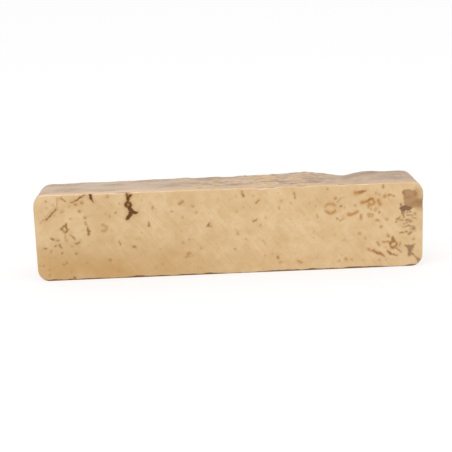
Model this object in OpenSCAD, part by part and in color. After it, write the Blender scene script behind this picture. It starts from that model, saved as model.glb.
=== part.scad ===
// Cast bar ingot of yellow copper alloy, with one long side ground flat.
// Millimetres. X runs along the bar, the ground face looks to -Y and Z is up.
// The origin is at the middle of the underside.

/* [Bar] */
// Length of the bar over its two ends
bar_len = 300; // [220:1:600]
// Depth of the bar, from its ground face to its back
bar_depth = 45; // [30:0.5:90]
// Height of the ground face at the left end
bar_h = 69; // [45:0.1:120]
// Radius of the mould's corners, where the ends meet the underside and the top
corner_r = 9; // [5:0.5:14]
// Radius of the edges round the back, left by the mould
rear_r = 2.5; // [1.5:0.1:4]

/* [Ground face] */
// Width of the worn bevel along the top edge of the ground face
top_bevel = 0.7; // [0.4:0.1:2]
// Width of the bevel along the ends and the underside of the ground face
edge_bevel = 0.6; // [0.3:0.1:1.5]
// How much lower the top edge of the ground face is at the right end
end_fall = 1.2; // [0:0.1:4]

/* [Cast top] */
// How much lower the rear edge is at the two ends than the ground face at its left end
rear_drop = 1.7; // [0:0.1:4]
// How far the rear edge arches up in the middle of the bar
rear_arch = 1.1; // [0:0.1:4]
// Height of the hump on the rear edge, where the melt set last
hump_h = 1.5; // [0:0.1:4]
// Distance from the right end to the top of the hump
hump_in = 91; // [60:1:110]
// Half length of the hump
hump_len = 15; // [8:0.5:30]
// Depth of the sink beside the hump, where the melt shrank
sink_h = 2.7; // [0:0.1:5]
// Distance from the right end to the bottom of the sink
sink_in = 58; // [30:1:100]
// Half length of the sink
sink_len = 9; // [6:0.5:30]
// Height of the ripples in the cast skin
ripple_h = 0.3; // [0:0.05:0.8]
// Length of one ripple
ripple_len = 38; // [24:1:80]

/* [Hidden] */
// Distance between neighbouring stations on the cast skin
skin_step = 6;
// Steepest slope of the cast skin, at the ends and the back, and the turn between its stations there
steep = 80;
turn = 10;
// Cutting shapes reach this far past the bar
over = 1;

half_len = bar_len / 2;
ground_y = -bar_depth / 2;
back_y = bar_depth / 2;
rear_h = bar_h - rear_drop;
blank_h = max(bar_h, rear_h + rear_arch + hump_h) + ripple_h + over;

$fn = 64;

// One bell-shaped swell of height 1 and the given half length
function swell(x, half) = exp(-pow(x / half, 2));

// Smooth ramp from 0 at the ground face to 1 at the back
function ramp(y) =
    let (t = max(0, min(1, (y - ground_y) / bar_depth)))
    t * t * (3 - 2 * t);

// Drop of a rounded edge at the distance s past the start of its curve, which stops turning at its steepest slope
function round_drop(s, r) =
    s <= 0 ? 0
    : s < r * sin(steep) ? r - sqrt(r * r - s * s)
    : r * (1 - cos(steep)) + (s - r * sin(steep)) * tan(steep);

// Height of the straight top edge of the ground face
function front_height(x) = bar_h - end_fall * (x / bar_len + 0.5);

// Height of the uneven rear edge
function rear_height(x) =
    rear_h + rear_arch * (1 - pow(x / half_len, 2))
    + hump_h * swell(x - half_len + hump_in, hump_len)
    - sink_h * swell(x - half_len + sink_in, sink_len);

// Two crossing trains of ripples
function ripple(x, y) =
    ripple_h * sin(360 * (x + y / 2) / ripple_len) * cos(360 * (x - 2 * y) / (2 * ripple_len));

// Height of the cast skin: flat along the ground face, uneven at the back, turned down at its edges
function skin_height(x, y) =
    front_height(x) + (rear_height(x) - front_height(x) + ripple(x, y)) * ramp(y)
    - max(0, top_bevel - (y - ground_y))
    - round_drop(y - back_y + rear_r, rear_r)
    - round_drop(abs(x) - half_len + corner_r, corner_r);

// Evenly spaced values from a to b, at most the skin's step apart
function evenly(a, b) =
    let (n = ceil((b - a) / skin_step))
    [for (i = [0 : n]) a + (b - a) * i / n];

// Stations round one edge of radius r, from its outer side inwards
function round_stations(r) = [for (a = [steep : -turn : turn]) r * (sin(a) - 1)];

// Stations along the bar and across it
right_end = [for (s = round_stations(corner_r)) half_len + s];
left_end = [for (x = right_end) -x];
rear_edge = [for (s = round_stations(rear_r)) back_y + s];
skin_x = concat(
    [-half_len - over], left_end,
    evenly(corner_r - half_len, half_len - corner_r),
    [for (i = [len(right_end) - 1 : -1 : 0]) right_end[i]], [half_len + over]
);
skin_y = concat(
    [ground_y - over],
    evenly(ground_y + top_bevel, back_y - rear_r),
    [for (i = [len(rear_edge) - 1 : -1 : 0]) rear_edge[i]], [back_y + over]
);

// Corner to cut away so that an edge of radius r is left, with the material towards +X and +Y
module round_corner(r)
    difference() {
        translate([-over, -over])
            square(r + over);
        translate([r, r])
            circle(r);
    }

// Corner to cut away so that a bevel of width b is left, with the material towards +X and +Y
module bevel_corner(b)
    polygon([[-over, -over], [b + over, -over], [-over, b + over]]);

// Section from the inside of the bar out to one of its sides, from the ground face to the back
module edge_section(reach)
    difference() {
        translate([0, ground_y])
            square([reach, bar_depth]);
        translate([reach, ground_y])
            mirror([1, 0])
                bevel_corner(edge_bevel);
        translate([reach, back_y])
            rotate(180)
                round_corner(rear_r);
    }

// The bar as the mould shapes it, with its section carried round the ends and the underside
module mould_shape() {
    for (side = [0, 1])
        mirror([side, 0, 0]) {
            translate([0, 0, corner_r])
                linear_extrude(blank_h - corner_r)
                    edge_section(half_len);
            translate([half_len - corner_r, 0, corner_r])
                rotate([-90, 0, 0])
                    rotate_extrude(angle = 90)
                        edge_section(corner_r);
        }
    translate([0, 0, corner_r])
        rotate([0, 90, 0])
            linear_extrude(bar_len - 2 * corner_r, center = true)
                edge_section(corner_r);
}

// Everything under the cast skin, reaching past the bar on its other sides
module under_skin() {
    nx = len(skin_x);
    ny = len(skin_y);
    low = nx * ny;
    points = concat(
        [for (x = skin_x, y = skin_y) [x, y, skin_height(x, y)]],
        [for (x = [skin_x[0], skin_x[nx - 1]], y = [skin_y[0], skin_y[ny - 1]]) [x, y, -over]]
    );
    skin = [
        for (i = [0 : nx - 2], j = [0 : ny - 2], half = [0, 1])
            let (a = i * ny + j)
            half == 0 ? [a, a + 1, a + ny + 1] : [a, a + ny + 1, a + ny]
    ];
    walls = [
        concat([low, low + 1], [for (j = [ny - 1 : -1 : 0]) j]),
        concat([low + 3, low + 2], [for (j = [0 : ny - 1]) (nx - 1) * ny + j]),
        concat([low + 2, low], [for (i = [0 : nx - 1]) i * ny]),
        concat([low + 1, low + 3], [for (i = [nx - 1 : -1 : 0]) i * ny + ny - 1]),
        [low, low + 2, low + 3, low + 1]
    ];
    polyhedron(points, concat(skin, walls));
}

module ingot()
    color([0.84, 0.71, 0.52])
        intersection() {
            mould_shape();
            under_skin();
        }

ingot();
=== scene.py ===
import logging
import math
from dataclasses import dataclass, field
from enum import Enum, IntEnum

import bpy
import numpy as np
from mathutils import Matrix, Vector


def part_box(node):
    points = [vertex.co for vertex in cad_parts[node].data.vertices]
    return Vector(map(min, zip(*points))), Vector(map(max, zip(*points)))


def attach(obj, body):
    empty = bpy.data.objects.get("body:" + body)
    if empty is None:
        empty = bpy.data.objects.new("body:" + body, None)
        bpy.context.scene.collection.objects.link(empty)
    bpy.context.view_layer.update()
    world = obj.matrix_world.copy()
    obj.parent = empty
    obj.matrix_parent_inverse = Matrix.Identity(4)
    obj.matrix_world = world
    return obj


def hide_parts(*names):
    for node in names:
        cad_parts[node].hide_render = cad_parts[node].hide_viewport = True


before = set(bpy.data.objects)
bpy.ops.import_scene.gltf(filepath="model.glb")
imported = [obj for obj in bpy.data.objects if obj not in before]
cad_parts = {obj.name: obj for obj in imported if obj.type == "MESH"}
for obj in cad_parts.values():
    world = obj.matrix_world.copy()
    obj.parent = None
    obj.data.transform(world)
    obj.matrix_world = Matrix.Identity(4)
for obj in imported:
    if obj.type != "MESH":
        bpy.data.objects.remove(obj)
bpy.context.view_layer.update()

LOG = logging.getLogger("ingot")
MM = 0.001
NODE = "ingot"
BODY = "root"

# Gap that is stored where no stroke is near, in millimetres
FAR_GAP = 10.0
# Degrees between the places of a round stroke
RING_STEP = 30.0
# Shift between the layers of a noise, in millimetres
LAYER_SHIFT = 17.3
# Least length that a direction is divided by
LEAST_STEP = 1e-9

Colour = tuple[float, float, float, float]
Triple = tuple[float, float, float]
Pair = tuple[float, float]
Socket = bpy.types.NodeSocket
WHITE: Colour = (1.0, 1.0, 1.0, 1.0)


def srgb(red: int, green: int, blue: int) -> Colour:
    """Linear colour with an alpha of 1, as shaders take it, for a screen colour in steps of 0 to 255."""
    steps = np.array([red, green, blue]) / 255.0
    return (*np.where(steps <= 0.04045, steps / 12.92, ((steps + 0.055) / 1.055) ** 2.4).tolist(), 1.0)


def smoothstep(low: float, high: float, values: np.ndarray) -> np.ndarray:
    """Smooth climb 3t^2 - 2t^3, where t is the share of the way from low to high, flat on both sides."""
    t = np.clip((values - low) / (high - low), 0.0, 1.0)
    return t * t * (3.0 - 2.0 * t)


@dataclass(frozen=True)
class NoiseLayers:
    """One use of the noise: its coarsest cell in millimetres, its number of layers and its shift."""

    cell: Triple
    count: int
    shift: float = 0.0


class LatticeNoise:
    """Smooth seeded noise between random values on a repeating cubic lattice."""

    def __init__(self, seed: int, cells: int = 48) -> None:
        """Draws the lattice's values.

        Args:
            seed: Seed of the draw.
            cells: Cells along each side of the lattice before it repeats.
        """
        self._cells = cells
        self._table = np.random.default_rng(seed).uniform(-1.0, 1.0, (cells,) * 3)

    def sample(self, places: np.ndarray, cell: Triple) -> np.ndarray:
        """Blend of the eight lattice values round each place.

        Args:
            places: Places in millimetres, with x, y and z in the last axis.
            cell: Size of one lattice cell along x, y and z.

        Returns:
            Noise from -1 to 1 for each place.
        """
        scaled = places / np.asarray(cell)
        base = np.floor(scaled).astype(int)
        share = smoothstep(0.0, 1.0, scaled - base)
        total = np.zeros(places.shape[:-1])
        for corner in np.ndindex(2, 2, 2):
            weight = np.prod(np.where(corner, share, 1.0 - share), axis=-1)
            index = np.mod(base + np.asarray(corner), self._cells)
            total += weight * self._table[index[..., 0], index[..., 1], index[..., 2]]
        return total

    def layered(self, places: np.ndarray, layers: NoiseLayers) -> np.ndarray:
        """Sum of noises, each half as coarse and half as strong as the one before.

        Args:
            places: Places in millimetres.
            layers: Triple, count and shift of the noises.

        Returns:
            Noise from -1 to 1 for one layer, and of up to twice that for many.
        """
        total = np.zeros(places.shape[:-1])
        for layer in range(layers.count):
            size = tuple(c / 2.0**layer for c in layers.cell)
            total += self.sample(places + layers.shift + LAYER_SHIFT * layer, size) / 2.0**layer
        return total


class Zone(IntEnum):
    """Stretches of the bar's surface, in the order in which its section meets them."""

    GROUND = 0
    WORN_EDGE = 1
    TOP = 2
    BACK = 3
    UNDERSIDE = 4
    LOW_EDGE = 5
    END = 6


class Tone(Enum):
    """Kinds of flaws in the ground face, by their colour."""

    SMOKE = "smoke"
    DEEP = "deep"
    BROWN = "brown"
    RUST = "rust"
    FAINT = "faint"


@dataclass(frozen=True)
class Climb:
    """Values between which a mask climbs smoothly from 0, and what it reaches."""

    low: float
    high: float
    end: float = 1.0


@dataclass(frozen=True)
class Stain:
    """How the flaws of one tone are cut and stained: lengths in millimetres, the edge as shift and softness."""

    colour: Colour
    depth: float
    share: float
    edge: Pair
    grow: float = 0.0
    halo: Climb | None = None
    dulls: bool = True


# Stains of the ground face, each over the one before it
STAINS: dict[Tone, Stain] = {
    Tone.FAINT: Stain(srgb(194, 150, 98), depth=0.06, share=0.7, edge=(1.5, 0.9), grow=0.2, dulls=False),
    Tone.RUST: Stain(
        srgb(188, 138, 74), depth=0.25, share=0.8, edge=(2.0, 0.9), grow=0.08, halo=Climb(2.2, -0.2, 0.3)
    ),
    Tone.BROWN: Stain(
        srgb(160, 114, 70), depth=0.4, share=0.85, edge=(2.2, 0.75), halo=Climb(1.8, -0.2, 0.3)
    ),
    Tone.SMOKE: Stain(srgb(138, 103, 76), depth=0.15, share=0.95, edge=(1.6, 0.8)),
    Tone.DEEP: Stain(
        srgb(106, 65, 34), depth=0.7, share=0.95, edge=(1.2, 0.65), halo=Climb(3.2, -0.2, 0.4)
    ),
}


@dataclass(frozen=True)
class Stroke:
    """A line of places on a flat side with the half width at each, all in millimetres."""

    places: tuple[Triple, ...]

    def gap(self, across: np.ndarray, along: np.ndarray) -> np.ndarray:
        """Distance from each point to the stroke's edge, below zero inside it.

        Each pair of neighbouring places is a tapered capsule: the distance to the nearest point of
        the segment between them, less the half width blended to that point.

        Args:
            across: First coordinate of the points.
            along: Second coordinate of the points.

        Returns:
            The smallest gap over the stroke's segments.
        """
        best = np.full(across.shape, FAR_GAP)
        ends = self.places[1:] or self.places
        for (ax, az, aw), (bx, bz, bw) in zip(self.places, ends):
            run = (bx - ax) ** 2 + (bz - az) ** 2
            dot = (across - ax) * (bx - ax) + (along - az) * (bz - az)
            share = np.clip(dot / run, 0.0, 1.0) if run else np.zeros_like(across)
            away = np.hypot(across - ax - share * (bx - ax), along - az - share * (bz - az))
            best = np.minimum(best, away - aw - share * (bw - aw))
        return best


def line(*places: Triple) -> Stroke:
    """One stroke through the given places, each with its half width."""
    return Stroke(places)


def ring(
    x: float, z: float, radius: float, half_width: float, turn: float = 360.0, start: float = 0.0
) -> Stroke:
    """Round stroke about x and z that turns up and over, from start degrees past its right side."""
    angles = np.radians(start + np.linspace(0.0, turn, int(turn // RING_STEP) + 1))
    return line(*((x + radius * math.cos(a), z + radius * math.sin(a), half_width) for a in angles))


def spots(half_width: float, *places: Pair) -> list[Stroke]:
    """One round stroke of the given half width at each place."""
    return [line((x, z, half_width)) for x, z in places]


# Flaws in the ground face: x from the middle of the bar, z from its underside
FLAWS: dict[Tone, list[Stroke]] = {
    Tone.SMOKE: [
        line((132.8, 47.2, 1.6), (136.0, 47.2, 2.5), (139.6, 46.6, 1.7)),
        line((133.6, 46.0, 1.2), (133.4, 42.4, 0.5)),
    ],
    Tone.DEEP: [
        line((-78.1, 66.9, 0.5), (-77.4, 64.8, 0.9), (-77.4, 62.0, 0.9)),
        line((-74.5, 66.9, 0.4), (-76.8, 64.2, 0.7)),
        ring(-77.4, 59.0, 2.2, 0.75),
        line((-76.8, 57.0, 1.4), (-75.0, 53.2, 1.8), (-76.6, 50.4, 1.7), (-78.7, 47.6, 1.3)),
        line((-75.0, 53.0, 1.6), (-72.6, 52.3, 1.4), (-70.6, 52.4, 0.8)),
        line((-120.8, 62.4, 0.1), (-115.5, 64.8, 0.5), (-113.0, 66.2, 0.6), (-110.2, 67.5, 0.4)),
        line((-106.0, 67.4, 1.1), (-105.6, 65.0, 1.1), (-103.8, 61.8, 0.2)),
        line((-132.4, 57.6, 0.2), (-137.0, 53.0, 0.35), (-140.6, 49.8, 0.3)),
    ],
    Tone.BROWN: [
        line((-78.0, 59.2, 2.1), (-76.8, 58.8, 2.1)),
        line((-77.6, 67.0, 1.3), (-76.4, 65.8, 1.6), (-77.2, 63.6, 1.2)),
        line((-122.2, 2.2, 1.0), (-122.0, 0.4, 1.6)),
        line((-128.0, 65.4, 0.5), (-125.4, 63.2, 0.3)),
        line(
            (-129.7, 41.4, 0.8), (-127.2, 38.7, 0.7), (-124.7, 41.2, 0.6), (-126.6, 43.8, 0.9),
            (-129.7, 41.4, 0.8),
        ),
        line((-126.2, 43.8, 1.0), (-125.8, 46.4, 0.3)),
        line((-109.4, 41.8, 0.7), (-108.5, 39.0, 1.2), (-108.8, 36.8, 0.9)),
        line((-111.2, 45.8, 0.4), (-110.2, 44.2, 0.4)),
        line((-123.4, 37.0, 0.4), (-121.6, 35.2, 0.3), (-120.0, 33.6, 0.6)),
        line((-138.0, 34.6, 0.5), (-136.2, 33.6, 0.6)),
        line((-134.6, 33.2, 0.3), (-132.4, 32.6, 0.5)),
        line((-119.4, 30.0, 0.5), (-117.0, 29.6, 0.6), (-115.6, 31.6, 0.2)),
        line((-131.8, 28.4, 0.6), (-131.0, 26.8, 0.5)),
        line((-143.6, 26.6, 0.7), (-142.2, 26.4, 0.6)),
        line((-86.2, 29.6, 0.5), (-85.2, 27.4, 0.5)),
        line((-75.6, 25.0, 0.5), (-73.4, 24.6, 0.5)),
        *spots(0.7, (-140.0, 63.4), (-130.4, 22.4), (-119.4, 21.0), (-141.0, 4.8), (-135.0, 28.0)),
        *spots(0.5, (-138.4, 24.0), (-127.4, 14.6), (-129.6, 13.0), (-140.6, 9.0), (-124.0, 6.6)),
        *spots(0.25, (-148.0, 12.6), (-145.0, 13.0), (-134.6, 60.6), (-87.6, 52.4)),
        line((101.0, 61.0, 0.9), (105.6, 62.0, 0.4)),
        line((106.4, 54.0, 0.6), (108.8, 55.6, 0.7), (111.2, 56.0, 0.5)),
        line((123.0, 57.6, 0.5), (125.0, 58.2, 0.5), (127.2, 57.0, 0.3)),
        line((119.0, 66.2, 0.4), (119.1, 64.0, 0.4)),
        line((86.0, 57.0, 0.4), (83.4, 53.8, 0.2)),
        *spots(0.7, (86.0, 51.0), (83.4, 40.6), (116.0, 44.6), (143.0, 22.0)),
        line((88.6, 41.0, 0.4), (85.0, 38.6, 0.2)),
        line((134.4, 60.4, 0.8), (135.2, 57.6, 0.6)),
        line((132.4, 50.6, 0.5), (134.0, 48.6, 1.2)),
        line((136.4, 43.8, 0.3), (140.6, 44.0, 0.4)),
        line((141.6, 39.6, 0.4), (144.2, 38.6, 0.3)),
        line((135.0, 34.6, 0.3), (138.2, 35.2, 0.4)),
        line((140.4, 30.2, 0.4), (142.4, 30.0, 0.3)),
        line((134.5, 45.0, 0.6), (135.0, 39.4, 0.3)),
        line((137.4, 41.6, 0.5), (142.0, 41.4, 0.5)),
        line((143.2, 43.2, 0.3), (144.2, 42.0, 0.3)),
        line((132.4, 37.6, 0.5), (134.2, 37.4, 0.5)),
        line((136.8, 37.6, 0.5), (139.0, 37.0, 0.6), (141.4, 35.8, 0.3)),
        line((135.2, 32.2, 0.4), (139.4, 32.6, 0.5), (143.0, 31.6, 0.7), (144.2, 28.4, 0.4)),
        line((131.8, 27.4, 0.3), (134.6, 28.0, 0.5), (137.8, 28.6, 0.3)),
        line((138.8, 26.2, 0.6), (141.6, 28.8, 0.5)),
        line((129.0, 36.2, 0.3), (129.6, 38.6, 0.4), (131.6, 40.2, 0.3)),
        ring(127.0, 18.2, 2.6, 0.8),
        line((126.4, 24.4, 0.6), (126.7, 21.6, 1.7)),
        line((136.4, 16.6, 0.4), (140.4, 14.6, 2.2), (143.6, 17.6, 0.5)),
        line((140.4, 14.6, 2.2), (139.6, 9.2, 0.8)),
        line((141.0, 11.4, 0.8), (144.4, 7.6, 0.5), (147.4, 4.0, 1.2)),
        line((110.4, 13.6, 1.0), (115.6, 11.6, 1.3), (120.8, 8.4, 0.3)),
        line((122.4, 13.2, 0.8), (125.0, 10.8, 0.9)),
        line((126.8, 10.2, 0.6), (129.8, 9.4, 0.6)),
        line((129.4, 15.2, 0.6), (133.2, 11.4, 0.5)),
        line((114.4, 21.2, 0.3), (116.0, 17.6, 0.6)),
        line((132.4, 19.6, 0.5), (131.6, 17.0, 0.3)),
    ],
    Tone.RUST: [
        *spots(1.0, (-112.6, 61.4), (-115.0, 55.0), (-111.0, 50.0), (-93.6, 15.0), (120.0, 57.0)),
        line((97.4, 61.0, 1.3), (102.4, 61.0, 1.1)),
        line((102.6, 52.8, 1.3), (106.0, 53.8, 1.0)),
        ring(109.8, 53.2, 2.4, 0.7),
        line((107.6, 51.0, 0.9), (107.4, 48.8, 0.4)),
        line((115.2, 54.4, 1.0), (116.6, 50.8, 1.0)),
        line((92.0, 44.2, 1.0), (94.0, 43.2, 1.0), (98.8, 45.8, 0.9)),
        line((101.6, 42.8, 0.6), (101.4, 40.0, 0.9)),
        ring(78.0, 49.0, 4.2, 0.5, 120.0, 30.0),
        ring(78.0, 49.0, 4.0, 0.8, 120.0, 210.0),
        line((113.6, 38.4, 0.9), (115.4, 37.6, 0.9)),
        *spots(0.9, (117.6, 33.0), (108.0, 15.0), (90.0, 8.0), (123.0, 25.6), (82.0, 57.4)),
        line((119.4, 20.6, 0.8), (124.0, 20.6, 0.8)),
        line((-117.4, 60.6, 0.8), (-116.4, 60.4, 0.5)),
    ],
    Tone.FAINT: [
        *spots(0.8, (-140.0, 58.4), (-87.4, 6.6)),
        *spots(0.6, (-87.4, 52.4), (-95.0, 52.4)),
        *spots(1.2, (-128.0, 55.4), (-93.0, 65.4), (113.0, 47.0), (122.0, 38.6), (100.4, 28.4), (97.4, 51.0)),
        ring(-97.6, 41.0, 2.6, 0.9, 210.0, 250.0),
        line((-131.0, 65.4, 0.2), (-131.4, 62.4, 0.3), (-132.2, 58.6, 0.3)),
        line((-140.6, 49.8, 0.4), (-143.4, 49.2, 0.4), (-145.6, 46.6, 0.1)),
        line((-127.0, 36.2, 0.5), (-127.2, 33.6, 0.4)),
        line((-123.2, 27.6, 0.6), (-120.8, 27.6, 0.4)),
        line((-131.0, 66.0, 0.6), (-130.2, 65.8, 0.5)),
        line((109.4, 47.8, 0.6), (109.6, 46.6, 0.5)),
        line((107.8, 42.8, 1.7), (110.2, 42.6, 1.7)),
        *spots(0.8, (105.0, 24.0), (94.4, 7.0), (116.4, 5.6), (84.4, 7.0), (116.0, 58.6), (89.0, 49.4)),
    ],
}

# Skin that the grinding left at the right end of the face
SKIN_PATCH: list[Stroke] = [
    line((136.4, 59.4, 2.6), (141.6, 57.8, 3.8), (140.4, 52.0, 4.6)),
    line((138.0, 56.0, 3.6), (139.6, 51.6, 4.4), (146.6, 50.4, 3.4), (150.0, 50.4, 3.4)),
]

# Places on the top where its skin is rubbed through: x from the middle of the bar, y from its middle depth
RUBS: list[Stroke] = [
    line((-1.0, -4.5, 1.0), (7.0, -3.0, 2.2), (18.0, 0.0, 2.6), (30.0, 4.0, 3.0), (42.0, 7.0, 1.0)),
    line((7.0, -13.5, 1.5), (14.0, -15.5, 2.0), (24.0, -13.0, 2.2), (38.0, -11.5, 1.6)),
    line((51.0, 11.0, 2.0), (66.0, 17.5, 1.5)),
    line((45.0, -10.5, 1.0), (61.0, -9.0, 1.2)),
    line((-12.5, 7.0, 1.2), (-8.5, 8.5, 1.2)),
    line((72.0, 16.0, 1.0), (78.0, 14.0, 1.0)),
    line((134.0, 4.0, 0.8), (141.0, 4.5, 0.8)),
    *spots(1.2, (71.5, 1.5), (75.5, -12.0), (86.5, -1.0), (108.5, -5.0), (122.0, -12.0), (-27.5, 10.0)),
]


@dataclass(frozen=True)
class Chip:
    """A chip in the top edge of the ground face: its place along the bar, half length and depth."""

    x: float
    half: float
    depth: float


CHIPS: tuple[Chip, ...] = (
    Chip(25.0, 6.0, 0.9),
    Chip(34.0, 2.5, 0.5),
    Chip(57.0, 4.0, 0.7),
    Chip(86.0, 4.5, 0.5),
    Chip(104.0, 6.0, 0.4),
    Chip(-82.0, 12.0, 0.5),
    Chip(-103.0, 4.0, 0.2),
)


@dataclass(frozen=True)
class BarForm:
    """Sizes of the bar in millimetres and the heights of its top, as the solids have them."""

    length: float
    depth: float
    height: float = 69.0
    corner_r: float = 9.0
    rear_r: float = 2.5
    top_bevel: float = 0.7
    edge_bevel: float = 0.6
    end_fall: float = 1.2
    rear_drop: float = 1.7
    rear_arch: float = 1.1
    hump_h: float = 1.5
    hump_in: float = 91.0
    hump_len: float = 15.0
    sink_h: float = 2.7
    sink_in: float = 58.0
    sink_len: float = 9.0
    ripple_h: float = 0.3
    ripple_len: float = 38.0

    def front_height(self, x: np.ndarray) -> np.ndarray:
        """Height of the straight top edge of the ground face, which falls evenly to the right end."""
        return self.height - self.end_fall * (x / self.length + 0.5)

    def rear_height(self, x: np.ndarray) -> np.ndarray:
        """Height of the rear edge: a low arch with a bell-shaped hump and a bell-shaped sink.

        Args:
            x: Places along the bar.

        Returns:
            Heights above the underside.
        """
        half = self.length / 2.0
        hump = np.exp(-(((x - half + self.hump_in) / self.hump_len) ** 2))
        sink = np.exp(-(((x - half + self.sink_in) / self.sink_len) ** 2))
        arch = self.height - self.rear_drop + self.rear_arch * (1.0 - (x / half) ** 2)
        return arch + self.hump_h * hump - self.sink_h * sink

    def skin_height(self, x: np.ndarray, y: np.ndarray) -> np.ndarray:
        """Height of the cast top before its edges turn down.

        The front edge's height blends smoothly into the rear edge's, with two crossing trains of
        ripples that grow the same way.

        Args:
            x: Places along the bar.
            y: Places across it.

        Returns:
            Heights above the underside.
        """
        across = 2.0 * math.pi / self.ripple_len
        ripple = self.ripple_h * np.sin(across * (x + y / 2.0)) * np.cos(across * (x - 2.0 * y) / 2.0)
        share = smoothstep(-self.depth / 2.0, self.depth / 2.0, y)
        front = self.front_height(x)
        return front + (self.rear_height(x) - front + ripple) * share

    def end_turn(self, x: np.ndarray) -> np.ndarray:
        """Drop of the quarter round that joins the ends to the top and the underside."""
        past = np.clip(np.abs(x) - self.length / 2.0 + self.corner_r, 0.0, self.corner_r)
        return self.corner_r - np.sqrt(self.corner_r**2 - past**2)


@dataclass(frozen=True)
class Section:
    """The outline across the bar as one closed loop, with the zone of the stretch after each place."""

    y: np.ndarray
    z: np.ndarray
    zone: np.ndarray


@dataclass
class SectionBuilder:
    """Joins straight and round stretches into the bar's section, from the foot of the ground face upwards."""

    form: BarForm
    ground_steps: int = 92
    bevel_steps: int = 3
    top_steps: int = 48
    round_steps: int = 7
    back_steps: int = 26
    under_steps: int = 16

    def straight(self, start: Pair, end: Pair, steps: int) -> np.ndarray:
        """Evenly spaced y and z from start up to, but without, end."""
        return np.linspace(start, end, steps, endpoint=False)

    def rounded(self, y: float, z: float, start: float) -> np.ndarray:
        """Quarter circle of the rear radius about y and z, turning down from start degrees, without its end."""
        angle = np.radians(start - 90.0 * np.arange(self.round_steps) / self.round_steps)
        return self.form.rear_r * np.stack([np.cos(angle), np.sin(angle)], axis=1) + (y, z)

    def build(self) -> Section:
        """Puts the stretches together.

        Returns:
            The section, with z from 0 to the bar's height.
        """
        f = self.form
        front, back, high = -f.depth / 2.0, f.depth / 2.0, f.height
        rear = back - f.rear_r
        foot, brow = (front, f.edge_bevel), (front, high - f.top_bevel)
        crest, heel = (front + f.top_bevel, high), (front + f.edge_bevel, 0.0)
        stretches = [
            (Zone.GROUND, self.straight(foot, brow, self.ground_steps)),
            (Zone.WORN_EDGE, self.straight(brow, crest, self.bevel_steps)),
            (Zone.TOP, self.straight(crest, (rear, high), self.top_steps)),
            (Zone.TOP, self.rounded(rear, high - f.rear_r, 90.0)),
            (Zone.BACK, self.straight((back, high - f.rear_r), (back, f.rear_r), self.back_steps)),
            (Zone.BACK, self.rounded(rear, f.rear_r, 0.0)),
            (Zone.UNDERSIDE, self.straight((rear, 0.0), heel, self.under_steps)),
            (Zone.LOW_EDGE, self.straight(heel, foot, self.bevel_steps)),
        ]
        y, z = np.concatenate([places for _, places in stretches]).T
        return Section(y, z, np.repeat([int(zone) for zone, _ in stretches], [len(p) for _, p in stretches]))


@dataclass(frozen=True)
class Scatter:
    """Seeded marks on the ground face: how many, and the spans of their places and sizes in millimetres."""

    count: int
    x: Pair
    z: Pair
    width: Pair
    length: Pair = (0.0, 0.0)


@dataclass(frozen=True)
class Relief:
    """Fine relief: its sizes in millimetres, its noises and the spans over which it climbs or fades."""

    coarse: NoiseLayers = NoiseLayers((24.0, 7.0, 12.0), 3)
    fine: NoiseLayers = NoiseLayers((4.5, 2.6, 2.6), 2, 31.0)
    mould: float = 0.16
    mould_mix: Pair = (0.6, 0.4)
    top: float = 0.42
    top_mix: Pair = (0.5, 0.7)
    calm: float = 0.6
    rough: float = 0.6
    rough_left: Pair = (-60.0, 0.0)
    rough_right: Pair = (125.0, 60.0)
    front_fade: Pair = (0.0, 5.0)
    shrink: float = 0.3
    shrink_over: Pair = (0.0, 30.0)
    wave: float = 0.05
    wave_noise: NoiseLayers = NoiseLayers((34.0, 34.0, 26.0), 1)
    flaw_wall: Pair = (0.35, -0.8)
    patch_depth: float = 0.35
    patch_wall: Pair = (0.4, -0.6)
    patch_grain: float = 0.5
    foot_fade: Pair = (0.4, 2.4)
    wear: float = 0.08
    wear_change: float = 0.12
    wear_noise: NoiseLayers = NoiseLayers((6.0, 6.0, 6.0), 3)
    wear_fade: Pair = (2.2, 0.4)
    brow: float = 0.16
    brow_fade: Pair = (5.0, 0.0)


@dataclass(frozen=True)
class Borders:
    """Ragged borders of the marks: how far noise shifts them, in millimetres, and that noise."""

    flaw: float = 0.55
    flaw_x: NoiseLayers = NoiseLayers((3.0, 3.0, 3.0), 2)
    flaw_z: NoiseLayers = NoiseLayers((3.0, 3.0, 3.0), 2, 71.0)
    rub_x: float = 2.4
    rub_y: float = 1.2
    rub_noise: NoiseLayers = NoiseLayers((7.0, 2.5, 4.0), 3)
    top: float = 1.4
    top_fade: Pair = (4.5, 0.4)
    top_noise: NoiseLayers = NoiseLayers((9.0, 6.0, 3.0), 3, 47.0)
    chip_reach: float = 2.5


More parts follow.
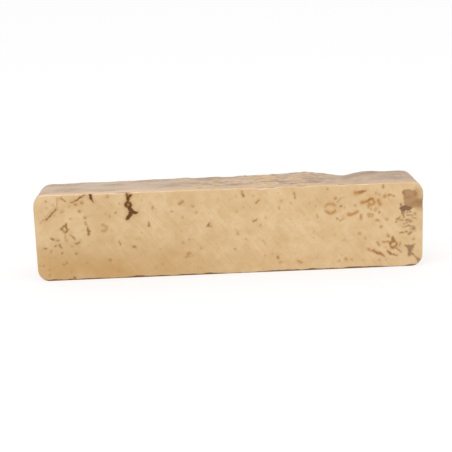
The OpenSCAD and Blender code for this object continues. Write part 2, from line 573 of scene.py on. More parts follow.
@dataclass
class Ingot:
    """The cast bar: one closed surface of stations along the bar by places round its section."""

    form: BarForm
    seed: int = 7
    bar_steps: int = 404
    turn_steps: int = 14
    cap_rings: int = 8
    relief: Relief = Relief()
    borders: Borders = Borders()
    more_flaws: Scatter = Scatter(26, (-64.0, 72.0), (6.0, 62.0), (0.35, 0.9), (0.0, 4.5))
    pores: Scatter = Scatter(75, (-146.0, 146.0), (3.0, 65.0), (0.15, 0.4))
    section: Section = field(init=False)
    smooth: np.ndarray = field(init=False)
    zone: np.ndarray = field(init=False)
    ground: np.ndarray = field(init=False)
    noise: LatticeNoise = field(init=False)
    coarse: np.ndarray = field(init=False)
    fine: np.ndarray = field(init=False)

    def __post_init__(self) -> None:
        """Builds the smooth surface and the noise of its skin.

        Each place has the zone of the stretch after it, with all rings of the ends in the end zone,
        and the ground face counts with its edges.
        """
        self.section = SectionBuilder(self.form).build()
        self.smooth = self.capped(self.carry(self.stations()))
        self.zone = np.tile(self.section.zone, (len(self.smooth), 1))
        self.zone[: self.cap_rings] = Zone.END
        self.zone[-self.cap_rings :] = Zone.END
        self.ground = np.isin(self.zone, (Zone.GROUND, Zone.WORN_EDGE, Zone.LOW_EDGE))
        self.noise = LatticeNoise(self.seed)
        self.coarse = self.noise.layered(self.smooth, self.relief.coarse)
        self.fine = self.noise.layered(self.smooth, self.relief.fine)

    def stations(self) -> np.ndarray:
        """Places along the bar: even on its straight length, even in angle round its end corners.

        Returns:
            Rising x values from end to end.
        """
        inner = self.form.length / 2.0 - self.form.corner_r
        angle = np.radians(90.0 * np.arange(1, self.turn_steps + 1) / self.turn_steps)
        turn = inner + self.form.corner_r * np.sin(angle)
        return np.concatenate([-turn[::-1], np.linspace(-inner, inner, self.bar_steps + 1), turn])

    def carry(self, x: np.ndarray) -> np.ndarray:
        """Carries the section along the bar.

        At each station the section's y is squeezed between the ground face and the back, which draw
        in at the end edges, and its z is stretched from the underside to the cast top.

        Args:
            x: Stations along the bar.

        Returns:
            Places of shape stations by section by 3, in millimetres.
        """
        f, s = self.form, self.section
        to_end = f.length / 2.0 - np.abs(x)
        bevel_in = np.clip(f.edge_bevel - to_end, 0.0, None)
        past = np.clip(f.rear_r - to_end, 0.0, f.rear_r)
        rear_in = f.rear_r - np.sqrt(f.rear_r**2 - past**2)
        front = (-f.depth / 2.0 + bevel_in)[:, None]
        back = (f.depth / 2.0 - rear_in)[:, None]
        y = front + (back - front) * (s.y[None, :] + f.depth / 2.0) / f.depth
        xx = np.broadcast_to(x[:, None], y.shape)
        low = f.end_turn(xx)
        high = f.skin_height(xx, y) - f.end_turn(xx)
        z = low + (high - low) * s.z[None, :] / f.height
        return np.stack([xx, y, z], axis=-1)

    def capped(self, bar: np.ndarray) -> np.ndarray:
        """Closes both ends with rings that shrink towards the middle of the end.

        Args:
            bar: Places from carry.

        Returns:
            The same with the rings of the left end before it and those of the right end after it.
        """
        share = (np.arange(1, self.cap_rings + 1) / (self.cap_rings + 1.0))[:, None, None]
        left = bar[0].mean(axis=0) + (bar[0] - bar[0].mean(axis=0)) * share
        right = bar[-1].mean(axis=0) + (bar[-1] - bar[-1].mean(axis=0)) * share[::-1]
        return np.concatenate([left, bar, right])

    def normals(self) -> np.ndarray:
        """Outward directions, from the steps between neighbouring places along and round the bar.

        Returns:
            Unit vectors, the cross products of the two steps.
        """
        along = np.gradient(self.smooth, axis=0)
        around = np.roll(self.smooth, -1, axis=1) - np.roll(self.smooth, 1, axis=1)
        cross = np.cross(along, around)
        return cross / np.maximum(np.linalg.norm(cross, axis=-1, keepdims=True), LEAST_STEP)

    def seeded_strokes(self) -> dict[Tone, list[Stroke]]:
        """Seeded flaws for the middle of the face, and fine pores all over it.

        Returns:
            Strokes for each tone that is used.
        """
        rng = np.random.default_rng(self.seed)
        made: dict[Tone, list[Stroke]] = {Tone.BROWN: [], Tone.RUST: [], Tone.FAINT: []}
        for i in range(self.more_flaws.count):
            x, z = rng.uniform(*self.more_flaws.x), rng.uniform(*self.more_flaws.z)
            length, angle = rng.uniform(*self.more_flaws.length), rng.uniform(0.0, math.pi)
            width = rng.uniform(*self.more_flaws.width)
            end = (x + length * math.cos(angle), z + length * math.sin(angle), width / 2.0)
            made[list(made)[i % len(made)]].append(line((x, z, width), end))
        for i in range(self.pores.count):
            x, z = rng.uniform(*self.pores.x), rng.uniform(*self.pores.z)
            tone = Tone.FAINT if i % len(made) else Tone.RUST
            made[tone].extend(spots(rng.uniform(*self.pores.width), (x, z)))
        return made

    def ground_gaps(self) -> dict[str, np.ndarray]:
        """Gaps to the flaws and to the patch of skin on the ground face.

        The places are first shifted by noise of up to about a millimetre, which makes the strokes'
        edges ragged.

        Returns:
            Gaps in millimetres for each tone and for the patch, far from all of them elsewhere.
        """
        b, face = self.borders, self.smooth[self.ground]
        x = face[..., 0] + b.flaw * self.noise.layered(face, b.flaw_x)
        z = face[..., 2] + b.flaw * self.noise.layered(face, b.flaw_z)
        seeded = self.seeded_strokes()
        groups = {t.value: (FLAWS[t] + seeded.get(t, []), STAINS[t].grow) for t in Tone}
        groups["patch"] = (SKIN_PATCH, 0.0)
        gaps = {}
        for name, (strokes, grow) in groups.items():
            gaps[name] = np.full(self.zone.shape, FAR_GAP)
            gaps[name][self.ground] = np.minimum.reduce([s.gap(x, z) for s in strokes]) - grow
        return gaps

    def rub_gaps(self) -> np.ndarray:
        """Gaps to the rubbed places on the top, with ragged edges.

        Returns:
            Gaps in millimetres, far from the rubbed places on the other sides.
        """
        top = np.isin(self.zone, (Zone.WORN_EDGE, Zone.TOP))
        skin = self.smooth[top]
        shift = self.noise.layered(skin, self.borders.rub_noise)
        x = skin[..., 0] + self.borders.rub_x * shift
        y = skin[..., 1] + self.borders.rub_y * shift
        gaps = np.full(top.shape, FAR_GAP)
        gaps[top] = np.minimum.reduce([s.gap(x, y) for s in RUBS])
        return gaps

    def top_mask(self) -> np.ndarray:
        """Mask that is 1 on the cast top and fades to 0 down its round edges, with a ragged border.

        Returns:
            Masks from the drop below the top's height, shifted by noise.
        """
        b, (x, y, z) = self.borders, np.moveaxis(self.smooth, -1, 0)
        drop = self.form.skin_height(x, y) - z
        return smoothstep(*b.top_fade, drop + b.top * self.noise.layered(self.smooth, b.top_noise))

    def high(self) -> np.ndarray:
        """Mix of the coarse and the fine noise that the top follows."""
        return self.relief.top_mix[0] * self.coarse + self.relief.top_mix[1] * self.fine

    def chips(self) -> np.ndarray:
        """Depth of the chips at each place along the bar, one bell for each chip."""
        x = self.smooth[..., 0]
        return sum(chip.depth * np.exp(-(((x - chip.x) / chip.half) ** 2)) for chip in CHIPS)

    def edge_gaps(self) -> np.ndarray:
        """Distance of each place to the top edge of the ground face.

        Returns:
            Distances in millimetres, up to the far gap.
        """
        x, y, z = np.moveaxis(self.smooth, -1, 0)
        up = z - self.form.front_height(x) + self.form.end_turn(x)
        return np.clip(np.hypot(y + self.form.depth / 2.0, up), 0.0, FAR_GAP)

    def worn_edge(self) -> np.ndarray:
        """How much the top edge of the ground face is worn back, with its chips.

        The wear is a noise along the edge plus a bell-shaped chip at each stated place, and it fades
        over the millimetres next to the edge. The skin beside it is also rounded down a little.

        Returns:
            Depths in millimetres, zero away from the edge.
        """
        r, gap = self.relief, self.edge_gaps()
        depth = r.wear + r.wear_change * self.noise.layered(self.smooth * (1.0, 0.0, 0.0), r.wear_noise)
        worn = np.clip(depth + self.chips(), 0.0, None) * smoothstep(*r.wear_fade, gap)
        return worn + np.where(self.zone == Zone.TOP, r.brow * smoothstep(*r.brow_fade, gap), 0.0)

    def ground_relief(self, gaps: dict[str, np.ndarray]) -> np.ndarray:
        """Relief of the ground face: a slight wave, into which each flaw sinks to the depth of its tone.

        Args:
            gaps: Gaps from ground_gaps.

        Returns:
            Heights in millimetres, below zero where the face sinks.
        """
        r = self.relief
        cuts = [stain.depth * smoothstep(*r.flaw_wall, gaps[tone.value]) for tone, stain in STAINS.items()]
        patch = r.patch_depth * smoothstep(*r.patch_wall, gaps["patch"])
        cuts.append(patch * (1.0 + r.patch_grain * self.fine))
        sunk = np.maximum.reduce(cuts) * smoothstep(*r.foot_fade, self.smooth[..., 2])
        return r.wave * self.noise.layered(self.smooth, r.wave_noise) - sunk

    def skin_relief(self) -> np.ndarray:
        """Relief of the cast skin.

        The top gets noise stretched along the bar, which is roughest in its middle and fades out at
        the ground face, and it has shrunk a little towards the back. The sides that the mould shaped
        get weaker noise, and the underside only sinks below its plane.

        Returns:
            Heights in millimetres.
        """
        r, x = self.relief, self.smooth[..., 0]
        from_front = self.smooth[..., 1] + self.form.depth / 2.0
        middle = smoothstep(*r.rough_left, x) * smoothstep(*r.rough_right, x)
        top = r.top * self.high() * (r.calm + r.rough * middle) * smoothstep(*r.front_fade, from_front)
        top = top - r.shrink * smoothstep(*r.shrink_over, from_front)
        side = r.mould * (r.mould_mix[0] * self.coarse + r.mould_mix[1] * self.fine)
        side = np.where(self.zone == Zone.UNDERSIDE, -np.abs(side), side)
        return np.where(self.zone == Zone.TOP, top, side)

    def surface(self) -> tuple[np.ndarray, dict[str, np.ndarray]]:
        """Moves the smooth surface along its normals by the fine relief, but not below the underside.

        Returns:
            Places in millimetres, and the gaps and masks that the finishes read.
        """
        gaps = self.ground_gaps()
        marks = {
            **gaps,
            "rub": self.rub_gaps(),
            "top": self.top_mask(),
            "high": self.high(),
            "edge": self.edge_gaps() - self.borders.chip_reach * self.chips(),
        }
        height = np.where(self.ground, self.ground_relief(gaps), self.skin_relief()) - self.worn_edge()
        places = self.smooth + self.normals() * height[..., None]
        places[..., 2] = np.maximum(places[..., 2], 0.0)
        return places, marks

    def build(self) -> bpy.types.Object:
        """Puts the surface into a mesh, closes its ends with fans and stores the marks as attributes.

        Returns:
            The finished object, at the origin.
        """
        places, marks = self.surface()
        rows, columns = self.zone.shape
        poles = np.stack([places[0].mean(axis=0), places[-1].mean(axis=0)])
        points = np.concatenate([places.reshape(-1, 3), poles]) * MM

        index = np.arange(rows * columns).reshape(rows, columns)
        beside = np.roll(index, -1, axis=1)
        quads = np.stack([index[:-1], index[1:], beside[1:], beside[:-1]], axis=-1).reshape(-1, 4)
        first, last = rows * columns, rows * columns + 1
        left = np.stack([np.full(columns, first), index[0], beside[0]], axis=-1)
        right = np.stack([np.full(columns, last), beside[-1], index[-1]], axis=-1)
        skin = np.concatenate([~self.ground[:-1].reshape(-1), np.ones(2 * columns, dtype=bool)])
        mesh = bpy.data.meshes.new(NODE)
        mesh.from_pydata(points.tolist(), [], quads.tolist() + left.tolist() + right.tolist())
        mesh.polygons.foreach_set("use_smooth", np.ones(len(mesh.polygons), dtype=bool))
        mesh.polygons.foreach_set("material_index", skin.astype(np.int32))

        for name, values in marks.items():
            stored = mesh.attributes.new(name, "FLOAT", "POINT")
            flat = np.concatenate([values.reshape(-1), [values[0].mean(), values[-1].mean()]])
            stored.data.foreach_set("value", flat.astype(np.float32))
        mesh.validate()
        mesh.update()
        piece = bpy.data.objects.new("cast_bar", mesh)
        bpy.context.scene.collection.objects.link(piece)
        return piece


@dataclass(frozen=True)
class Grain:
    """A noise in a finish: its cell in millimetres, its finer layers and the values its mask climbs between."""

    cell: Triple
    detail: float
    low: float = 0.0
    high: float = 1.0
    end: float = 1.0
    tilt: float = 0.0
    shift: float = 0.0
    warp: float = 0.0


class Shade:
    """Adds nodes to one node tree and joins them."""

    def __init__(self, tree: bpy.types.NodeTree) -> None:
        """Starts with an empty tree.

        Args:
            tree: Tree that the nodes go into.
        """
        self.tree = tree
        tree.nodes.clear()

    def node(self, kind: str, inputs: dict | None = None, **settings: object) -> bpy.types.Node:
        """Adds one node.

        Args:
            kind: The node's type name.
            inputs: Value or output socket for each input, by the input's name or number.
            settings: The node's own settings.

        Returns:
            The node.
        """
        made = self.tree.nodes.new(kind)
        for name, value in settings.items():
            setattr(made, name, value)
        for name, value in (inputs or {}).items():
            if isinstance(value, Socket):
                self.tree.links.new(value, made.inputs[name])
            else:
                made.inputs[name].default_value = value
        return made

    def math(self, operation: str, a: object, b: object) -> Socket:
        """Result of one sum on two values."""
        return self.node("ShaderNodeMath", {0: a, 1: b}, operation=operation).outputs[0]

    def times(self, a: object, b: object) -> Socket:
        """Product of two values."""
        return self.math("MULTIPLY", a, b)

    def plus(self, a: object, b: object) -> Socket:
        """Sum of two values."""
        return self.math("ADD", a, b)

    def minus(self, a: object, b: object) -> Socket:
        """First value less the second."""
        return self.math("SUBTRACT", a, b)

    def most(self, a: object, b: object) -> Socket:
        """Larger of two values."""
        return self.math("MAXIMUM", a, b)

    def mix(self, share: object, a: object, b: object) -> Socket:
        """Colour a blended into colour b."""
        return self.node("ShaderNodeMix", {0: share, 6: a, 7: b}, data_type="RGBA").outputs[2]

    def tint(self, colour: object, other: object, mask: object, share: float) -> Socket:
        """Colour blended into another one by a share of a mask."""
        return self.mix(self.times(mask, share), colour, other)

    def blend(self, share: object, a: object, b: object) -> Socket:
        """Value a blended into value b."""
        return self.node("ShaderNodeMix", {0: share, 2: a, 3: b}, data_type="FLOAT").outputs[0]

    def ramp(self, value: object, low: object, high: object, end: float = 1.0) -> Socket:
        """Mask that climbs smoothly from 0 where the value is low to end where it is high."""
        inputs = {"Value": value, "From Min": low, "From Max": high, "To Max": end}
        return self.node("ShaderNodeMapRange", inputs, interpolation_type="SMOOTHSTEP").outputs[0]

    def climb(self, value: object, climb: Climb | Grain) -> Socket:
        """Mask that climbs with a value."""
        return self.ramp(value, climb.low, climb.high, climb.end)

    def along(self, axis: str) -> Socket:
        """Place along an axis of the bar, in millimetres."""
        coords = self.node("ShaderNodeTexCoord").outputs["Object"]
        return self.times(self.node("ShaderNodeSeparateXYZ", {0: coords}).outputs[axis], 1.0 / MM)

    def span(self, axis: str, climb: Climb) -> Socket:
        """Mask that climbs along an axis of the bar."""
        return self.climb(self.along(axis), climb)

    def stored(self, name: str) -> Socket:
        """Number stored on the mesh under a name."""
        return self.node("ShaderNodeAttribute", attribute_name=name).outputs["Fac"]

    def noise(self, grain: Grain) -> Socket:
        """Noise on the object's own coordinates, tilted about the axis across the bar.

        Args:
            grain: Triple, layers, tilt, shift and warp of the noise.

        Returns:
            Noise of about 0.2 to 0.8.
        """
        placing = {
            "Vector": self.node("ShaderNodeTexCoord").outputs["Object"],
            "Location": (grain.shift * MM,) * 3,
            "Rotation": (0.0, math.radians(grain.tilt), 0.0),
            "Scale": tuple(c * MM for c in grain.cell),
        }
        placed = self.node("ShaderNodeMapping", placing, vector_type="TEXTURE").outputs[0]
        inputs = {"Vector": placed, "Scale": 1.0, "Detail": grain.detail, "Distortion": grain.warp}
        return self.node("ShaderNodeTexNoise", inputs).outputs["Fac"]

    def mask(self, grain: Grain) -> Socket:
        """Mask that climbs with a noise."""
        return self.climb(self.noise(grain), grain)

    def shine(self, look: dict, height: object, strength: float, step: float) -> None:
        """Ends a material with its bump, its Principled shader and its output.

        Args:
            look: Base Color, Metallic and Roughness.
            height: Height that the bump follows.
            strength: Share of the bump that shows.
            step: Millimetres that a height of 1 stands for.
        """
        bump = self.node("ShaderNodeBump", {"Strength": strength, "Distance": step * MM, "Height": height})
        shader = self.node("ShaderNodeBsdfPrincipled", {**look, "Normal": bump.outputs[0]})
        self.node("ShaderNodeOutputMaterial", {"Surface": shader.outputs[0]})


def new_material(name: str) -> tuple[bpy.types.Material, Shade]:
    """Makes an empty material.

    Args:
        name: The material's name.

    Returns:
        The material and what adds nodes to it.
    """
    made = bpy.data.materials.new(name)
    made.use_nodes = True
    return made, Shade(made.node_tree)


FLOAT = "NodeSocketFloat"
COLOUR = "NodeSocketColor"


@dataclass(frozen=True)
class GroupSocket:
    """One socket of a node group."""

    name: str
    kind: str = FLOAT
    default: float = 0.0


FINISH_SOCKETS = (GroupSocket("Color", COLOUR), GroupSocket("Roughness"), GroupSocket("Height"))


def new_group(name: str, inputs: tuple[GroupSocket, ...], outputs: tuple[GroupSocket, ...]) -> Shade:
    """Makes an empty shader node group with named sockets.

    Args:
        name: The group's name.
        inputs: Its inputs with their defaults.
        outputs: Its outputs.

    Returns:
        What adds nodes to the group.
    """
    tree = bpy.data.node_groups.new(name, "ShaderNodeTree")
    for entry in inputs:
        socket = tree.interface.new_socket(entry.name, in_out="INPUT", socket_type=entry.kind)
        socket.default_value = entry.default
    for entry in outputs:
        tree.interface.new_socket(entry.name, in_out="OUTPUT", socket_type=entry.kind)
    return Shade(tree)


@dataclass(frozen=True)
class BareBronze:
    """Metal that shows where the bar is ground or rubbed."""

    pale: Colour = srgb(231, 202, 159)
    warm: Colour = srgb(216, 180, 132)
    ochre: Colour = srgb(202, 159, 102)
    cloud: Grain = Grain((22.0, 22.0, 16.0), 4.0, 0.35, 0.68)
    cloud_share: float = 0.55
    blot: Grain = Grain((7.0, 7.0, 6.0), 4.0, 0.4, 0.7, 0.42, tilt=40.0, shift=63.0)
    speck: Grain = Grain((2.6, 2.6, 2.6), 3.0, 0.45, 0.75, 0.16, shift=40.0)
    broad: Grain = Grain((26.0, 3.0, 2.2), 3.0, 0.42, 0.7, tilt=58.0)
    some: Grain = Grain((38.0, 38.0, 26.0), 3.0, 0.38, 0.66, shift=130.0)
    fine: Grain = Grain((34.0, 2.0, 0.8), 3.0, 0.4, 0.75, tilt=52.0, shift=90.0)
    cross: Grain = Grain((30.0, 2.0, 0.9), 3.0, 0.45, 0.75, 0.4, tilt=-46.0, shift=150.0)
    marks_share: float = 0.12
    rough: float = 0.36
    marks_rough: float = 0.07
    cloud_rough: float = 0.06

    def group(self) -> bpy.types.NodeTree:
        """Node group with the metal's mottled colour, its roughness and its grinding marks.

        Returns:
            A group that puts out Color, Roughness and Height.
        """
        s = new_group("bare_bronze", (), FINISH_SOCKETS)
        cloud = s.mask(self.cloud)
        broad = s.times(s.mask(self.broad), s.mask(self.some))
        marks = s.plus(s.plus(broad, s.mask(self.fine)), s.mask(self.cross))
        colour = s.tint(self.pale, self.warm, cloud, self.cloud_share)
        colour = s.mix(s.mask(self.blot), colour, self.warm)
        colour = s.mix(s.mask(self.speck), colour, self.ochre)
        colour = s.tint(colour, self.ochre, marks, self.marks_share)
        rough = s.plus(s.times(marks, self.marks_rough), s.times(cloud, self.cloud_rough))
        s.node("NodeGroupOutput", {"Color": colour, "Roughness": s.plus(rough, self.rough), "Height": marks})
        return s.tree


@dataclass(frozen=True)
class DullSkin:
    """Oxidised skin that the mould and the air left on the bar."""

    grey: Colour = srgb(201, 178, 156)
    light: Colour = srgb(209, 188, 164)
    brown: Colour = srgb(156, 130, 106)
    patch: Grain = Grain((30.0, 12.0, 16.0), 5.0, 0.42, 0.68, 0.55)
    pale: Grain = Grain((9.0, 4.0, 6.0), 4.0, 0.5, 0.75, 0.5, shift=55.0)
    grain: Grain = Grain((1.3, 1.1, 1.1), 4.0, 0.5, 0.72, 0.25)
    pits: Grain = Grain((3.4, 2.6, 2.6), 2.0, 0.36, 0.26, shift=20.0)
    rough: float = 0.5
    grain_rough: float = 0.2

    def group(self) -> bpy.types.NodeTree:
        """Node group with the skin's patchy colour and its grain.

        Returns:
            A group that puts out Color, Roughness and Height.
        """
        s = new_group("dull_skin", (), FINISH_SOCKETS)
        grain = s.noise(self.grain)
        colour = s.mix(s.mask(self.patch), self.grey, self.brown)
        colour = s.mix(s.mask(self.pale), colour, self.light)
        colour = s.mix(s.climb(grain, self.grain), colour, self.brown)
        rough = s.plus(s.times(grain, self.grain_rough), self.rough)
        height = s.minus(grain, s.mask(self.pits))
        s.node("NodeGroupOutput", {"Color": colour, "Roughness": rough, "Height": height})
        return s.tree


@dataclass(frozen=True)
class RaggedEdge:
    """Edge of a stain: a gap in millimetres, shifted by fine noise, turned into a mask."""

    grain: Grain = Grain((1.6, 1.6, 1.6), 3.0, shift=12.0)
    middle: float = 0.5

    def group(self) -> bpy.types.NodeTree:
        """Node group whose mask falls from 1 to 0 over the softness on both sides of the edge.

        Returns:
            A group with the inputs Gap, Ragged and Soft that puts out Mask.
        """
        inputs = tuple(GroupSocket(name, default=1.0) for name in ("Gap", "Ragged", "Soft"))
        s = new_group("ragged_edge", inputs, (GroupSocket("Mask"),))
        given = s.node("NodeGroupInput").outputs
        shift = s.times(s.minus(s.noise(self.grain), self.middle), given["Ragged"])
        inside = s.times(given["Soft"], -1.0)
        s.node("NodeGroupOutput", {"Mask": s.ramp(s.plus(given["Gap"], shift), given["Soft"], inside)})
        return s.tree


@dataclass(frozen=True)
class Groups:
    """Node groups that both finishes use."""

    bronze: bpy.types.NodeTree
    skin: bpy.types.NodeTree
    edge: bpy.types.NodeTree

    def metal(self, s: Shade) -> bpy.types.bpy_prop_collection:
        """Outputs of the bare bronze in a material."""
        return s.node("ShaderNodeGroup", node_tree=self.bronze).outputs

    def dull(self, s: Shade) -> bpy.types.bpy_prop_collection:
        """Outputs of the dull skin in a material."""
        return s.node("ShaderNodeGroup", node_tree=self.skin).outputs

    def mask(self, s: Shade, name: str, edge: Pair) -> Socket:
        """Mask of the strokes stored under a name, with the shift and the softness of its edge."""
        inputs = {"Gap": s.stored(name), "Ragged": edge[0], "Soft": edge[1]}
        return s.node("ShaderNodeGroup", inputs, node_tree=self.edge).outputs["Mask"]


@dataclass(frozen=True)
class GroundFinish:
    """The ground face: bare bronze with stained flaws, a patch of skin and worn edges."""

    ochre: Colour = srgb(196, 152, 92)
    # Ochre grows towards the foot: partly the metal's tone, partly painted shade of the darker floor that the
    # face mirrors near its foot
    ochre_and_shade_low: Climb = Climb(46.0, 2.0, 1.1)
    ochre_left: Climb = Climb(40.0, -80.0, 0.9)
    ochre_least: float = 0.1
    cloud: Grain = Grain((30.0, 30.0, 24.0), 4.0, shift=8.0)
    edge: Colour = srgb(219, 191, 157)
    edge_reach: Climb = Climb(1.8, 0.9, 0.85)
    # Chip colour: fresh metal in the chips, made lighter as a painted highlight of their upward-facing cuts
    chip: Colour = srgb(240, 217, 186)
    chip_reach: Climb = Climb(1.0, 0.3, 0.8)
    wear: Grain = Grain((9.0, 2.0, 2.0), 4.0, shift=5.0)
    wear_shift: float = 1.6
    # Dark line along the foot: dirt, and painted contact shadow where the face meets the floor
    foot_dirt_and_shade: Colour = srgb(120, 80, 46)
    foot_dirt_and_shade_reach: Climb = Climb(1.0, 0.3, 0.9)
    foot_line_noise: Grain = Grain((16.0, 16.0, 16.0), 3.0, shift=3.0)
    foot_line_from: float = 0.4
    foot_line_height: float = 5.0
    patch: Colour = srgb(182, 145, 106)
    patch_share: float = 0.92
    patch_edge: Pair = (2.4, 0.8)
    patch_halo: Climb = Climb(5.5, 0.0, 0.6)
    patch_brown: Grain = Grain((5.0, 5.0, 4.0), 4.0, 0.4, 0.7, 0.6, shift=15.0)
    bar_end: Climb = Climb(141.0, 146.0)
    dusk: Colour = srgb(156, 122, 96)
    dusk_right: Climb = Climb(129.0, 133.0)
    dusk_left: Climb = Climb(-108.0, -114.0)
    dusk_low: Climb = Climb(38.0, 33.0)
    dull_metal: float = 0.8
    marks_height: float = 0.25
    dull_depth: float = 0.3
    skin_height: float = 0.6
    bump: float = 0.35
    bump_step: float = 0.25

    def bare(self, s: Shade, metal: Socket) -> Socket:
        """Metal that turns ochre in clouds, more towards the foot partly as painted shade, with the worn top
        edge, its chips lightened partly by a painted highlight, and a dark line along the foot of dirt and
        painted contact shadow.

        Args:
            s: What adds nodes to the material.
            metal: Colour of the metal.

        Returns:
            The colour.
        """
        left = s.plus(s.span("X", self.ochre_left), self.ochre_least)
        cloud = s.times(s.noise(self.cloud), left)
        # Ochre clouds: the metal's tone, and towards the foot also painted shade
        colour = s.mix(s.times(s.span("Z", self.ochre_and_shade_low), cloud), metal, self.ochre)
        worn = s.plus(s.stored("edge"), s.times(s.noise(self.wear), self.wear_shift))
        colour = s.mix(s.climb(worn, self.edge_reach), colour, self.edge)
        # Chips lightened partly as a painted highlight
        colour = s.mix(s.climb(worn, self.chip_reach), colour, self.chip)
        # Ragged dark line along the foot: dirt and painted contact shadow
        foot_line_noise = s.times(s.minus(s.noise(self.foot_line_noise), self.foot_line_from), self.foot_line_height)
        return s.mix(s.climb(s.minus(s.along("Z"), foot_line_noise), self.foot_dirt_and_shade_reach), colour, self.foot_dirt_and_shade)

    def stained(self, s: Shade, groups: Groups, colour: Socket) -> tuple[Socket, Socket]:
        """Adds the halos, the patch of skin that the grinding left and the stained flaws.

        Args:
            s: What adds nodes to the material.
            groups: The shared node groups.
            colour: Colour under them.

        Returns:
            The colour, and the mask of the places that are dull.
        """
        for tone, stain in STAINS.items():
            if stain.halo:
                colour = s.mix(s.climb(s.stored(tone.value), stain.halo), colour, self.ochre)
        halo = s.times(s.climb(s.stored("patch"), self.patch_halo), s.span("X", self.bar_end))
        colour = s.mix(halo, colour, self.patch)
        dull = groups.mask(s, "patch", self.patch_edge)
        skin = s.mix(s.mask(self.patch_brown), self.patch, STAINS[Tone.BROWN].colour)
        colour = s.tint(colour, skin, dull, self.patch_share)
        low_left = s.times(s.span("X", self.dusk_left), s.span("Z", self.dusk_low))
        dusk = s.most(s.span("X", self.dusk_right), low_left)
        for tone, stain in STAINS.items():
            mask = groups.mask(s, tone.value, stain.edge)
            paint = s.mix(dusk, stain.colour, self.dusk) if tone is Tone.BROWN else stain.colour
            colour = s.tint(colour, paint, mask, stain.share)
            dull = s.most(dull, mask) if stain.dulls else dull
        return colour, dull

    def material(self, groups: Groups) -> bpy.types.Material:
        """Builds the material.

        Args:
            groups: The shared node groups.

        Returns:
            The material of the ground face and its edges.
        """
        made, s = new_material("ground_bronze")
        bronze, skin = groups.metal(s), groups.dull(s)
        colour, dull = self.stained(s, groups, self.bare(s, bronze["Color"]))
        height = s.minus(s.times(bronze["Height"], self.marks_height), s.times(dull, self.dull_depth))
        height = s.plus(height, s.times(s.times(skin["Height"], dull), self.skin_height))
        look = {
            "Base Color": colour,
            "Metallic": s.blend(dull, 1.0, self.dull_metal),
            "Roughness": s.blend(dull, bronze["Roughness"], skin["Roughness"]),
        }
        s.shine(look, height, self.bump, self.bump_step)
        return made


@dataclass(frozen=True)
class SkinFinish:
    """The cast sides: dull skin, rubbed through to bare bronze in places."""

    gold: Colour = srgb(223, 184, 122)
    gold_tint: float = 0.6
    gold_end: Climb = Climb(120.0, 45.0)
    fleck: Grain = Grain((15.0, 8.0, 8.0), 9.0, 0.5, 0.6, 0.8, shift=33.0, warp=0.6)
    some: Grain = Grain((34.0, 13.0, 20.0), 3.0, 0.3, 0.48, shift=21.0)
    rub_share: float = 0.75
    rub_edge: Pair = (4.0, 1.2)
    umber: Colour = srgb(138, 107, 82)
    streak: Grain = Grain((11.0, 6.0, 5.0), 9.0, 0.46, 0.66, 0.75, shift=77.0, warp=0.9)
    other: Grain = Grain((26.0, 10.0, 20.0), 4.0, 0.36, 0.62, shift=58.0)
    patchy: Climb = Climb(-75.0, 15.0)
    calm: Climb = Climb(65.0, 105.0, 0.55)
    dusky: Climb = Climb(20.0, 90.0, 0.2)
    relief_share: float = 0.14
    side_share: float = 0.4
    # Cream band on the top along the front edge: a worn burr, and painted highlight where the edge catches the
    # light
    cream: Colour = srgb(222, 194, 164)
    cream_reach: Climb = Climb(10.5, 4.5, 0.85)
    cream_wider: Climb = Climb(-108.0, -72.0, 2.6)
    cream_left: Climb = Climb(-50.0, -75.0, 0.5)
    cream_least: float = 0.5
    fray: Grain = Grain((12.0, 5.0, 5.0), 4.0, shift=9.0)
    fray_shift: float = 6.0
    metal: float = 0.45
    bump: float = 0.75
    bump_step: float = 0.7

    def patches(self, s: Shade, groups: Groups, top: Socket) -> tuple[Socket, Socket]:
        """Masks of the bare and the dark patches, which lie on the high and the low places of the top.

        Args:
            s: What adds nodes to the material.
            groups: The shared node groups.
            top: Mask of the cast top.

        Returns:
            Mask of the bare patches and mask of the dark ones.
        """
        right = s.times(s.span("X", self.patchy), top)
        high = s.times(s.stored("high"), self.relief_share)
        fleck = s.times(s.climb(s.plus(s.noise(self.fleck), high), self.fleck), s.mask(self.some))
        gold = s.times(fleck, s.times(right, s.span("X", self.gold_end)))
        rubbed = s.times(groups.mask(s, "rub", self.rub_edge), self.rub_share)
        streak = s.times(s.climb(s.minus(s.noise(self.streak), high), self.streak), s.mask(self.other))
        dark = s.times(streak, s.times(right, s.minus(1.0, s.span("X", self.calm))))
        return s.most(rubbed, gold), dark

    def material(self, groups: Groups) -> bpy.types.Material:
        """Builds the material.

        Args:
            groups: The shared node groups.

        Returns:
            The material of the top, the back, the underside and the ends.
        """
        made, s = new_material("cast_skin")
        bronze, skin, top = groups.metal(s), groups.dull(s), s.stored("top")
        bare, dark = self.patches(s, groups, top)
        colour = s.tint(skin["Color"], bronze["Color"], s.minus(1.0, top), self.side_share)
        colour = s.mix(dark, colour, self.umber)
        colour = s.mix(s.times(s.span("X", self.dusky), top), colour, self.umber)
        # Cream band along the front edge of the top: worn burr and painted highlight, strongest at the left
        frayed = s.plus(s.stored("edge"), s.times(s.noise(self.fray), self.fray_shift))
        border = s.climb(s.minus(frayed, s.span("X", self.cream_wider)), self.cream_reach)
        burr_and_highlight = s.plus(s.span("X", self.cream_left), self.cream_least)
        colour = s.mix(s.times(border, burr_and_highlight), colour, self.cream)
        colour = s.mix(bare, colour, s.mix(self.gold_tint, bronze["Color"], self.gold))
        look = {
            "Base Color": colour,
            "Metallic": s.blend(bare, self.metal, 1.0),
            "Roughness": s.blend(bare, skin["Roughness"], bronze["Roughness"]),
        }
        s.shine(look, skin["Height"], self.bump, self.bump_step)
        return made


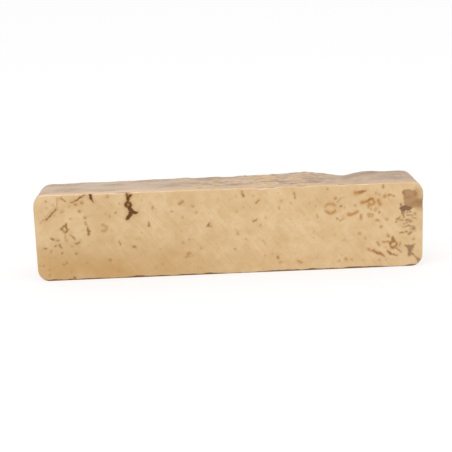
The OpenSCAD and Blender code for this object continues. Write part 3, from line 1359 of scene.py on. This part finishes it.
@dataclass(frozen=True)
class PhotoCamera:
    """Camera of the photograph, in millimetres, degrees and pixels, with its clipping in metres."""

    image_px: int = 452
    sensor_mm: float = 36.0
    focal_px: float = 1168.9
    clip: Pair = (0.05, 50.0)
    aside: float = -2.4
    away: float = 893.24
    height: float = 276.69
    pitch: float = 15.29
    yaw: float = 1.578
    roll: float = 1.943

    def build(self) -> None:
        """Makes the camera and makes it the scene's own.

        It is rolled, pitched down, moved to its place in front of the bar and then turned about the
        bar's middle.
        """
        data = bpy.data.cameras.new("photo_camera")
        data.sensor_width = self.sensor_mm
        data.lens = self.focal_px * self.sensor_mm / self.image_px
        data.clip_start, data.clip_end = self.clip
        camera = bpy.data.objects.new("photo_camera", data)
        turn = Matrix.Rotation(math.radians(-self.yaw), 4, "Z")
        place = Matrix.Translation((self.aside * MM, -self.away * MM, self.height * MM))
        tilt = Matrix.Rotation(math.radians(90.0 - self.pitch), 4, "X")
        roll = Matrix.Rotation(math.radians(-self.roll), 4, "Z")
        camera.matrix_world = turn @ place @ tilt @ roll
        bpy.context.scene.collection.objects.link(camera)
        bpy.context.scene.camera = camera


@dataclass(frozen=True)
class Lamp:
    """One soft square lamp that looks at the bar, with its size and place in metres."""

    name: str
    place: Triple
    size: float
    watts: float

    def build(self) -> None:
        """Makes the lamp.

        It is turned to the origin, the middle of the bar's underside.
        """
        data = bpy.data.lights.new(self.name, "AREA")
        data.size = self.size
        data.energy = self.watts
        made = bpy.data.objects.new(self.name, data)
        made.location = self.place
        made.rotation_euler = (-made.location).to_track_quat("-Z", "Y").to_euler()
        bpy.context.scene.collection.objects.link(made)


@dataclass(frozen=True)
class Studio:
    """White floor, even white surroundings and soft lamps."""

    floor_half: float = 6.0
    floor_white: Colour = (0.97, 0.97, 0.97, 1.0)
    floor_glow: float = 0.68
    ambient: float = 0.96
    lamps: tuple[Lamp, ...] = (
        Lamp("key_lamp", (-0.7, -0.8, 1.5), 1.4, 6.0),
        Lamp("fill_lamp", (0.9, -0.6, 1.2), 1.4, 2.0),
    )

    def build(self) -> None:
        """Makes the floor, the lamps and the surroundings.

        Colours are shown as they are, without a film look.
        """
        self.floor()
        for lamp in self.lamps:
            lamp.build()
        self.surroundings()
        bpy.context.scene.view_settings.view_transform = "Standard"

    def seen(self, s: Shade) -> Socket:
        """Value that is 1 for what the camera, metal or glass shows, and 0 for other light."""
        light = s.node("ShaderNodeLightPath").outputs
        return s.most(light["Is Camera Ray"], s.most(light["Is Glossy Ray"], light["Is Transmission Ray"]))

    def floor(self) -> None:
        """Makes the floor, which is nearly white to the camera and keeps the bar's shadow.

        A share of its white glows, but only for what the camera, metal or glass shows, so that it
        doesn't light the bar.
        """
        h = self.floor_half
        mesh = bpy.data.meshes.new("floor")
        mesh.from_pydata([(-h, -h, 0.0), (h, -h, 0.0), (h, h, 0.0), (-h, h, 0.0)], [], [(0, 1, 2, 3)])
        material, s = new_material("white_floor")
        paint = s.node("ShaderNodeBsdfDiffuse", {"Color": self.floor_white}).outputs[0]
        glow = s.node("ShaderNodeEmission", {"Color": WHITE, "Strength": 1.0}).outputs[0]
        share = s.times(self.seen(s), self.floor_glow)
        both = s.node("ShaderNodeMixShader", {0: share, 1: paint, 2: glow}).outputs[0]
        s.node("ShaderNodeOutputMaterial", {"Surface": both})
        mesh.materials.append(material)
        floor = bpy.data.objects.new("floor", mesh)
        bpy.context.scene.collection.objects.link(floor)

    def surroundings(self) -> None:
        """Lights the scene evenly from all sides.

        The camera and reflections see full white, and other light is a little weaker.
        """
        world = bpy.data.worlds.new("white_room")
        world.use_nodes = True
        s = Shade(world.node_tree)
        strength = s.blend(self.seen(s), self.ambient, 1.0)
        back = s.node("ShaderNodeBackground", {"Color": WHITE, "Strength": strength})
        s.node("ShaderNodeOutputWorld", {"Surface": back.outputs[0]})
        bpy.context.scene.world = world


def main() -> None:
    """Builds the camera, the studio and the bar.

    The bar's length and depth come from the solids' box.
    """
    PhotoCamera().build()
    Studio().build()
    low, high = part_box(NODE)
    form = BarForm(length=(high.x - low.x) / MM, depth=(high.y - low.y) / MM)
    bar = Ingot(form).build()
    groups = Groups(BareBronze().group(), DullSkin().group(), RaggedEdge().group())
    bar.data.materials.append(GroundFinish().material(groups))
    bar.data.materials.append(SkinFinish().material(groups))
    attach(bar, BODY)
    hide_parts(NODE)
    LOG.info("%s: %d vertices, %d faces", bar.name, len(bar.data.vertices), len(bar.data.polygons))


if __name__ == "__main__":
    logging.basicConfig(level=logging.INFO)
    main()
